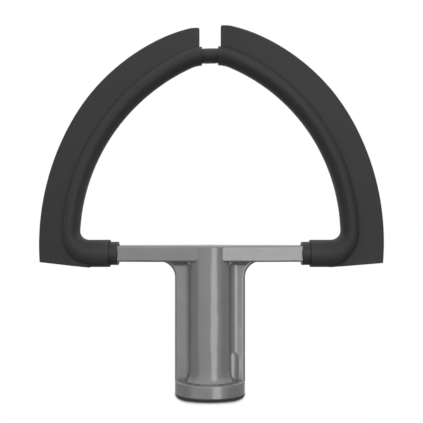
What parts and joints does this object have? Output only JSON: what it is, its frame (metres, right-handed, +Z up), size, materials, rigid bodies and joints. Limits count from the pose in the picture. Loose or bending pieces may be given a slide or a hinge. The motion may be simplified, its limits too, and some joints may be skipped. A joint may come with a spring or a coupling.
{
  "type": "stand mixer flat beater",
  "caption": "Flat beater for a stand mixer: a metal hub with a crossbar and shaft socket, and a bowed arch with a soft scraping fin along each side.",
  "frame": {"origin": "centre of the shaft socket's mouth, in the plane the beater stands on", "axes": "+Z up the shaft's axis from the mouth towards the arch, +X along the crossbar towards the keyway, +Y to the back"},
  "size_m": [0.138, 0.0282, 0.1462],
  "materials": {
    "metal": "satin cast and coated",
    "core": "fine matt moulded",
    "edge": "matt silicone"
  },
  "bodies": {
    "root": {"hub_frame": "metal", "carrier": "core", "right_edge": "edge", "left_edge": "edge"}
  },
  "joints": []
}
